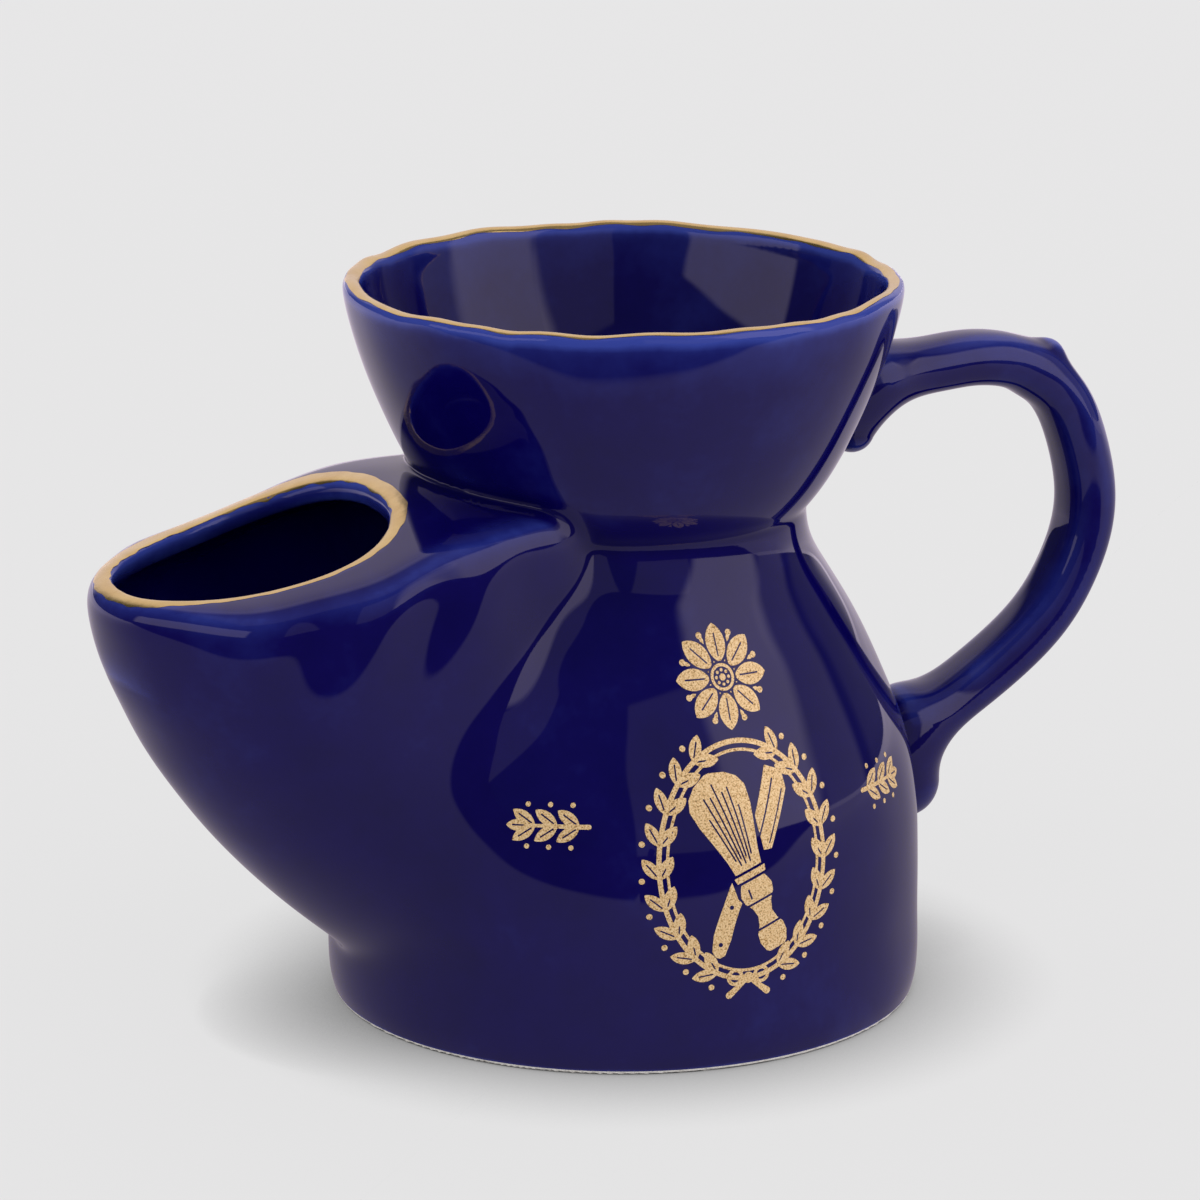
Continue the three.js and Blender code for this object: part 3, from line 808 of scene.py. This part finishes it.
def brush_pattern(u, v):
    """Shaving brush: turned handle, collar and a fanned knot of bristles."""
    along, across = turned_frame(u, v, (TOOLS_SPREAD, TOOLS_FOOT_Z), CROSSING)
    handle_side = outline_side(along, across, [
        (0, 1.2), (0.4, 1.7), (1.8, 2.2), (3.2, 2.1), (4.2, 1.5), (5.6, 1.15), (7.0, 1.5),
        (8.2, 2.3), (9.4, 2.55), (10.4, 2.2), (11.0, 1.9)])
    collar = outline_side(along, across, [(11.4, 2.3), (12.3, 2.5)])
    knot = outline_side(along, across, [
        (12.7, 2.1), (15, 2.5), (18, 3.3), (21, 4.15), (23.5, 4.5), (25, 3.9), (26.2, 2.5), (27, 0.4)])
    for i in range(-3, 4):
        slant = i * 0.055
        hair = np.abs(across - slant * (along - 7.0)) - 0.12
        start, end = 13.6 + 0.9 * (i % 2), 25.6 - 0.32 * i * i - 1.2 * (i % 2)
        knot = np.maximum(knot, -np.maximum(hair, np.maximum(start - along, along - end)))
    groove = np.minimum(np.abs(along - 3.75) - 0.17, np.abs(along - 7.7) - 0.17)
    shine = np.maximum(np.abs(across + 1.1) - 0.14, np.abs(along - 9.2) - 0.8)
    return union([np.maximum(handle_side, -np.minimum(groove, shine)), collar, knot])


def brush_solid(u, v):
    along, across = turned_frame(u, v, (TOOLS_SPREAD, TOOLS_FOOT_Z), CROSSING)
    return outline_side(along, across, [
        (-0.1, 1.2), (1.8, 2.2), (3.2, 2.1), (5.6, 1.15), (7.0, 1.5), (9.4, 2.55), (12.3, 2.5),
        (18, 3.3), (23.5, 4.5), (26.2, 2.5), (27, 0.4)])


def razor_pattern(u, v):
    """Open razor: pinned scales below, hollow-ground blade above."""
    along, across = turned_frame(u, v, (-TOOLS_SPREAD, TOOLS_FOOT_Z), -CROSSING)
    scales = outline_side(along, across - 0.012 * (along - 6.5) ** 2 + 0.4, [
        (-0.4, 0.3), (0.2, 1.0), (2.5, 1.35), (7, 1.25), (11.5, 1.4), (13.2, 1.0), (13.7, 0.3)])
    for pin in (1.5, 7.0, 12.0):
        bend = 0.012 * (pin - 6.5) ** 2 - 0.4
        scales = np.maximum(scales, 0.33 - np.hypot(along - pin, across - bend))
    edge_line = np.interp(
        along, [13.2, 15.4, 16.4, 24.8, 26.6, 27.2], [0.3, 0.6, 2.9, 3.0, 2.0, 0.4])
    blade = np.maximum(
        np.maximum(-0.95 - across, across - edge_line) * 0.93, np.maximum(13.9 - along, along - 27.0))
    grind = np.maximum(np.abs(across - 0.55) - 0.13, np.maximum(16.4 - along, along - 25.6))
    edge = np.maximum(np.abs(across - 2.35) - 0.11, np.maximum(17.0 - along, along - 24.6))
    blade = np.maximum(blade, -np.minimum(grind, edge))
    return np.minimum(scales, blade)


def tools_pattern(u, v):
    below = np.maximum(razor_pattern(u, v), 0.42 - brush_solid(u, v))
    return np.minimum(brush_pattern(u, v), below)


def rosette_pattern(u, v):
    """Flower of pointed petals and thin sepals round a seeded eye, above the wreath."""
    heart = (0.0, ROSETTE_Z)
    step = 2 * math.pi / ROSETTE_PETALS
    petals, sepals = [], []
    for i in range(ROSETTE_PETALS):
        c, s = math.cos(i * step), math.sin(i * step)
        petals.append(leaf(u, v, (1.9 * c, ROSETTE_Z + 1.9 * s), i * step, ROSETTE_R - 1.9, 1.42))
        half = (i + 0.5) * step
        tip = (0.86 * ROSETTE_R * math.cos(half), ROSETTE_Z + 0.86 * ROSETTE_R * math.sin(half))
        sepals.append(stroke(u, v, heart, tip, 0.75, 0.2))
        sepals.append(dot(u, v, tip, 0.42))
    petals = union(petals)
    sepals = np.maximum(union(sepals), 0.34 - petals)
    ring = dot(u, v, heart, 1.75)
    flower = np.maximum(np.minimum(petals, sepals), 0.3 - ring)
    seeds = [dot(u, v, (0.92 * math.cos(i * step), ROSETTE_Z + 0.92 * math.sin(i * step)), 0.22)
             for i in range(ROSETTE_PETALS)]
    return union([flower, np.maximum(ring, -(ring + 0.4)), dot(u, v, heart, 0.45), *seeds])


def sprig_pattern(u, v, hand):
    """Laurel sprig pointing away from the wreath, with leaf pairs and berries."""
    half = SPRIG_LENGTH / 2
    shapes = [stroke(u, v, (-hand * half, SPRIG_Z), (hand * half * 0.6, SPRIG_Z), 0.34, 0.2)]
    for i in range(3):
        foot = (hand * (half * 0.35 - i * SPRIG_LENGTH * 0.28), SPRIG_Z)
        outwards = 0.0 if hand > 0 else math.pi
        for lean in (-LEAF_LEAN, LEAF_LEAN):
            shapes.append(leaf(u, v, foot, outwards + lean, 3.8, 0.85))
            tip = (foot[0] + hand * 1.1, SPRIG_Z + 2.9 * math.copysign(1, lean))
            shapes.append(dot(u, v, tip, 0.36))
    shapes.append(leaf(u, v, (hand * half * 0.5, SPRIG_Z), outwards, 3.2, 0.8))
    return union(shapes)


def transfer(name, node_name, pattern, low, high, turn=0.0):
    """Presses a flat pattern onto the front of the tank, turned round the axis by some degrees."""
    columns, rows = (int((high[i] - low[i]) / ORNAMENT_GRID) for i in range(2))
    u, v = np.meshgrid(
        np.linspace(low[0], high[0], columns + 1), np.linspace(low[1], high[1], rows + 1), indexing="ij")
    flat = np.stack([u.ravel(), v.ravel()], 1)
    i, k = np.meshgrid(np.arange(columns), np.arange(rows), indexing="ij")
    a = (i * (rows + 1) + k).ravel()
    b = a + rows + 1
    faces = np.vstack([np.stack([a, b, b + 1], 1), np.stack([a, b + 1, a + 1], 1)])
    nothing_hidden = np.zeros(len(faces), bool)
    flat, (faces, _), _ = cut(flat, faces, nothing_hidden, lambda p: pattern(p[:, 0], p[:, 1]))
    used, faces = np.unique(faces, return_inverse=True)
    u, v = flat[used].T
    depth = 2.0 - np.sqrt(body_radius(v) ** 2 - u ** 2)
    c, s = math.cos(math.radians(turn)), math.sin(math.radians(turn))
    start = np.stack([u * c - depth * s, u * s + depth * c, v], 1)
    way = np.tile([s, -c, 0.0], (len(start), 1))
    top = along_ray(start, way, GILT_TOP, 14)
    closed_sheet(name, node_name, top, faces.reshape(-1, 3), PRINT_GOLD)


def ornament():
    width, height = WREATH_HALF_WIDTH + 3.5, WREATH_HALF_HEIGHT + 4
    transfer("gilt_wreath", "ornament_wreath",
             lambda u, v: np.minimum(wreath_pattern(u, v), bow_pattern(u, v)),
             (-width, WREATH_Z - height), (width, WREATH_Z + height))
    transfer("gilt_tools", "ornament_tools", tools_pattern,
             (-WREATH_HALF_WIDTH, TOOLS_FOOT_Z - 3), (WREATH_HALF_WIDTH, TOOLS_FOOT_Z + 29))
    reach = ROSETTE_R + 1
    transfer("gilt_rosette", "ornament_rosette", rosette_pattern,
             (-reach, ROSETTE_Z - reach), (reach, ROSETTE_Z + reach))
    for hand, side in ((-1, "left"), (1, "right")):
        transfer("gilt_sprig_" + side, "sprig_" + side,
                 lambda u, v: sprig_pattern(u, v, hand),
                 (-SPRIG_LENGTH * 0.8, SPRIG_Z - 4.5), (SPRIG_LENGTH * 0.8, SPRIG_Z + 4.5),
                 hand * SPRIG_TURN)


# ------------------------------------------------------------------ materials
def new_material(name):
    material = bpy.data.materials.new(name)
    material.use_nodes = True
    tree = material.node_tree
    return material, tree, tree.nodes["Principled BSDF"]


def plug(tree, node, inputs):
    """Sets a node's inputs to values, or links them to other nodes' outputs."""
    for key, value in inputs.items():
        if isinstance(value, bpy.types.NodeSocket):
            tree.links.new(value, node.inputs[key])
        else:
            node.inputs[key].default_value = value


def add(tree, kind, inputs=None, **settings):
    made = tree.nodes.new(kind)
    for key, value in settings.items():
        setattr(made, key, value)
    plug(tree, made, inputs or {})
    return made


def ramp(tree, factor, stops):
    made = add(tree, "ShaderNodeValToRGB", {"Fac": factor})
    elements = made.color_ramp.elements
    while len(elements) < len(stops):
        elements.new(1.0)
    for element, (position, colour) in zip(elements, stops):
        element.position = position
        element.color = (*colour, 1.0)
    return made.outputs["Color"]


def noise(tree, scale, detail=2.0, roughness=0.5):
    """Noise in the object's own space, with scale in cycles per metre."""
    place = add(tree, "ShaderNodeTexCoord")
    made = add(tree, "ShaderNodeTexNoise", {
        "Vector": place.outputs["Object"], "Scale": scale, "Detail": detail,
        "Roughness": roughness})
    return made.outputs["Fac"]


def math_node(tree, operation, *values):
    made = add(tree, "ShaderNodeMath", dict(enumerate(values)), operation=operation)
    return made.outputs["Value"]


def spread(tree, value, low, high):
    """Stretches a 0 to 1 value to run from low to high."""
    made = add(tree, "ShaderNodeMapRange", {"Value": value, "To Min": low, "To Max": high})
    return made.outputs["Result"]


def bump(tree, height, depth):
    return add(tree, "ShaderNodeBump", {"Height": height, "Distance": depth}).outputs["Normal"]


def glaze_material():
    """Cobalt glaze: deep where it pools, royal blue where it runs thin over edges, lighter on upward
    brows partly as a painted highlight.
    """
    material, tree, shader = new_material("cobalt_glaze")
    thin_and_sheen = add(tree, "ShaderNodeAttribute", attribute_name="thin_and_sheen").outputs["Fac"]
    run = math_node(tree, "ADD", thin_and_sheen, spread(tree, noise(tree, 70.0, 4.0, 0.6), -0.12, 0.12))
    run = math_node(tree, "ADD", run, spread(tree, noise(tree, 700.0, 2.0), -0.014, 0.014))
    share = math_node(tree, "MULTIPLY_ADD", run, 1.9, 0.49)
    colour = ramp(tree, share, [
        (0.22, GLAZE_POOLED), (0.42, GLAZE_DEEP), (0.54, GLAZE_BODY), (0.76, GLAZE_THIN),
        (1.0, GLAZE_EDGE)])
    plug(tree, shader, {
        "Base Color": colour,
        "Roughness": spread(tree, noise(tree, 240.0, 3.0), 0.02, 0.06),
        "Normal": bump(tree, noise(tree, 75.0, 0.0), 0.00035),
        "IOR": 1.52})
    return material


def band_material():
    """Burnished gold lustre laid by hand on the two lips."""
    material, tree, shader = new_material("gold_lustre")
    colour = ramp(tree, noise(tree, 260.0, 2.0), [(0.3, (0.78, 0.57, 0.21)), (0.7, (0.87, 0.67, 0.27))])
    plug(tree, shader, {
        "Base Color": colour,
        "Metallic": 1.0,
        "Roughness": spread(tree, noise(tree, 900.0, 3.0), 0.20, 0.30),
        "Normal": bump(tree, noise(tree, 500.0, 2.0), 0.00005)})
    return material


def print_material():
    """Matt bright gold of the printed ornament, stippled with fine dark specks."""
    material, tree, shader = new_material("gold_print")
    grain = noise(tree, 4200.0, 2.0, 0.6)
    specks = ramp(tree, grain, [
        (0.33, (0.30, 0.17, 0.05)), (0.43, (0.78, 0.52, 0.22)), (0.62, (0.98, 0.76, 0.42))])
    plug(tree, shader, {
        "Base Color": specks,
        "Metallic": 0.45,
        "Roughness": spread(tree, grain, 0.62, 0.42),
        "Normal": bump(tree, grain, 0.00003)})
    return material


def clay_material():
    """Unglazed white porcelain of the foot, dry and faintly speckled."""
    material, tree, shader = new_material("bare_clay")
    colour = ramp(tree, noise(tree, 1500.0, 4.0), [
        (0.25, (0.50, 0.47, 0.42)), (0.45, (0.72, 0.70, 0.65)), (0.8, (0.80, 0.78, 0.74))])
    plug(tree, shader, {
        "Base Color": colour,
        "Roughness": 0.8,
        "Normal": bump(tree, noise(tree, 3500.0, 3.0), 0.00008)})
    return material


# ------------------------------------------------------------------ build
GLAZE = glaze_material()
BAND_GOLD = band_material()
PRINT_GOLD = print_material()
CLAY = clay_material()

points, pieces = glazed_pieces()
normals = glaze_normals(points)
# Glaze thinness per point, with a painted highlight added on upward brows.
thin_and_sheen = thinness_and_sheen(points, normals)
for name, (faces, hidden) in pieces.items():
    bare = name == "foot_ring"
    piece = make_piece("glazed_" + name, points, faces, hidden, normals, thin_and_sheen, CLAY if bare else GLAZE)
    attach(piece, "root")
    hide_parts(name)
bowl_gilt_band()
pouch_gilt_band()
ornament()

# ------------------------------------------------------------------ stage
CAMERA_AZIMUTH = math.radians(-24)
CAMERA_REACH, CAMERA_HEIGHT = 0.7653, 0.2673
CAMERA_DOWN, CAMERA_YAW = 0.268, 0.00438
CAMERA_LENS, CAMERA_SENSOR = 165, 36
BACKGROUND = 0.776
FLOOR_SIZE = 6.0
# Floor: share lit by the lamps, share that glows evenly, and how far round the mug that glow is darkened
# into a painted contact shadow.
FLOOR_LIT, FLOOR_EVEN, CONTACT_SHADOW_REACH = 0.08, 0.70, 0.022
# The glaze mirrors a dim room, and a table that ends in front of the mug and grows brighter by these
# (turn, lift per metre), up to a farthest reach.
ROOM, TABLE_GLOW, TABLE_REACH, TABLE_EDGE = 0.06, 0.32, 0.148, 0.008
TABLE_LIFTS, LIFT_REACH = [(-165, 1.3), (60, 0.7)], 0.4
STUDIO_REACH = 1.25
STUDIO_TINT = (1.0, 0.87, 1.0)
STUDIO_HEART = Vector((0, 0, 0.055))
# Softboxes as (turn from the camera, rise, width and height in degrees, radiance, soft share of
# the edges, in reflections).
SOFTBOXES = {
    "left_box": (-58, 17, 58, 23, 0.85, 0.07, True),
    "right_box": (64, 21, 50, 66, 1.12, 0.16, True),
    "right_front": (24, 13, 36, 46, 0.20, 0.04, True),
    "right_wing": (98, 15, 28, 60, 0.32, 0.2, True),
    "right_far": (130, 26, 34, 64, 0.10, 0.2, True),
    "back_sweep": (180, 27, 84, 88, 0.70, 0.2, True),
    "ceiling": (0, 88, 76, 76, 0.17, 0.15, True),
    "fill": (-10, 52, 40, 30, 1.2, 0.1, False),
}


def add_object(name, data):
    made = bpy.data.objects.new(name, data)
    bpy.context.scene.collection.objects.link(made)
    return made


def studio_way(turn, rise):
    """Direction from the mug: turned to the right of the camera, and up from level, in degrees."""
    turn, rise = math.radians(turn) - math.pi / 2 + CAMERA_AZIMUTH, math.radians(rise)
    return Vector((math.cos(turn) * math.cos(rise), math.sin(turn) * math.cos(rise), math.sin(rise)))


def softbox(name, turn, rise, wide, high, radiance, edge, reflected):
    """A lit panel whose brightness falls off towards its edges, over that share of its size."""
    data = bpy.data.lights.new(name, "AREA")
    data.color = STUDIO_TINT
    data.use_nodes = True
    tree = data.node_tree
    across = add(tree, "ShaderNodeNewGeometry").outputs["Parametric"]
    across = add(tree, "ShaderNodeSeparateXYZ", {"Vector": across})
    shares = []
    for place in (across.outputs["X"], across.outputs["Y"]):
        inwards = math_node(tree, "PINGPONG", place, 0.5)
        shares.append(add(tree, "ShaderNodeMapRange", {
            "Value": inwards, "From Max": edge}, interpolation_type="SMOOTHSTEP").outputs["Result"])
    share = math_node(tree, "MULTIPLY", *shares)
    tree.links.new(share, tree.nodes["Emission"].inputs["Strength"])
    data.shape = "RECTANGLE"
    data.size = 2 * STUDIO_REACH * math.tan(math.radians(wide / 2))
    data.size_y = 2 * STUDIO_REACH * math.tan(math.radians(high / 2))
    data.energy = radiance * math.pi * data.size * data.size_y
    made = add_object(name, data)
    way = studio_way(turn, rise)
    made.location = STUDIO_HEART + way * STUDIO_REACH
    made.rotation_euler = way.to_track_quat("Z", "Y").to_euler()
    made.visible_camera = False
    made.visible_glossy = reflected


def stage_floor():
    """Plain floor: pale to the camera with a painted contact shadow round the mug, dimmer in the glaze's
    reflections.
    """
    mesh = bpy.data.meshes.new("floor")
    corners = [(x * FLOOR_SIZE, y * FLOOR_SIZE, 0) for x, y in ((-1, -1), (1, -1), (1, 1), (-1, 1))]
    mesh.from_pydata(corners, [], [(0, 1, 2, 3)])
    material = bpy.data.materials.new("pale_floor")
    material.use_nodes = True
    tree = material.node_tree
    tree.nodes.clear()
    mirrored = add(tree, "ShaderNodeLightPath").outputs["Is Glossy Ray"]
    # Painted contact shadow: ambient occlusion darkens the floor's glow close to the mug.
    corner = add(tree, "ShaderNodeAmbientOcclusion", {"Distance": CONTACT_SHADOW_REACH}, samples=8)
    lit = add(tree, "ShaderNodeBsdfDiffuse", {"Color": (FLOOR_LIT, FLOOR_LIT, FLOOR_LIT, 1)})
    glow_with_painted_shadow = add(tree, "ShaderNodeEmission", {"Color": corner.outputs["Color"], "Strength": FLOOR_EVEN})
    pale = add(tree, "ShaderNodeAddShader", {0: lit.outputs[0], 1: glow_with_painted_shadow.outputs[0]})
    place = add(tree, "ShaderNodeTexCoord").outputs["Object"]

    def towards(turn):
        way = {0: place, 1: studio_way(turn, 0)}
        return add(tree, "ShaderNodeVectorMath", way, operation="DOT_PRODUCT").outputs["Value"]

    table = add(tree, "ShaderNodeMapRange", {
        "Value": towards(0), "From Min": TABLE_REACH - TABLE_EDGE, "From Max": TABLE_REACH + TABLE_EDGE,
        "To Min": 1.0, "To Max": 0.0}, interpolation_type="SMOOTHSTEP").outputs["Result"]
    glow = TABLE_GLOW
    for turn, lift in TABLE_LIFTS:
        reach = math_node(tree, "MINIMUM", math_node(tree, "MAXIMUM", towards(turn), 0.0), LIFT_REACH)
        glow = math_node(tree, "MULTIPLY_ADD", reach, lift, glow)
    glow = math_node(tree, "MAXIMUM", math_node(tree, "MULTIPLY", glow, table), ROOM)
    dim = add(tree, "ShaderNodeEmission", {"Color": (*STUDIO_TINT, 1), "Strength": glow})
    mix = add(tree, "ShaderNodeMixShader", {0: mirrored, 1: pale.outputs[0], 2: dim.outputs[0]})
    add(tree, "ShaderNodeOutputMaterial", {"Surface": mix.outputs[0]})
    mesh.materials.append(material)
    add_object("floor", mesh)


def studio_air():
    """Pale grey behind the scene, and the dim room that the glaze mirrors."""
    world = bpy.data.worlds.new("studio")
    world.use_nodes = True
    tree = world.node_tree
    tree.nodes.clear()
    mirrored = add(tree, "ShaderNodeLightPath").outputs["Is Glossy Ray"]
    dim = add(tree, "ShaderNodeBackground", {"Color": (ROOM, ROOM, ROOM, 1)})
    pale = add(tree, "ShaderNodeBackground", {"Color": (BACKGROUND, BACKGROUND, BACKGROUND, 1)})
    mix = add(tree, "ShaderNodeMixShader", {0: mirrored, 1: pale.outputs[0], 2: dim.outputs[0]})
    add(tree, "ShaderNodeOutputWorld", {"Surface": mix.outputs[0]})
    bpy.context.scene.world = world


def stage_camera():
    data = bpy.data.cameras.new("camera")
    data.lens = CAMERA_LENS
    data.sensor_width = CAMERA_SENSOR
    made = add_object("camera", data)
    back = studio_way(0, 0)
    made.location = back * CAMERA_REACH + Vector((0, 0, CAMERA_HEIGHT))
    made.rotation_euler = (math.pi / 2 - CAMERA_DOWN, 0, CAMERA_AZIMUTH + CAMERA_YAW)
    bpy.context.scene.camera = made


stage_camera()
stage_floor()
studio_air()
for name, values in SOFTBOXES.items():
    softbox(name, *values)
bpy.context.scene.view_settings.view_transform = "Standard"
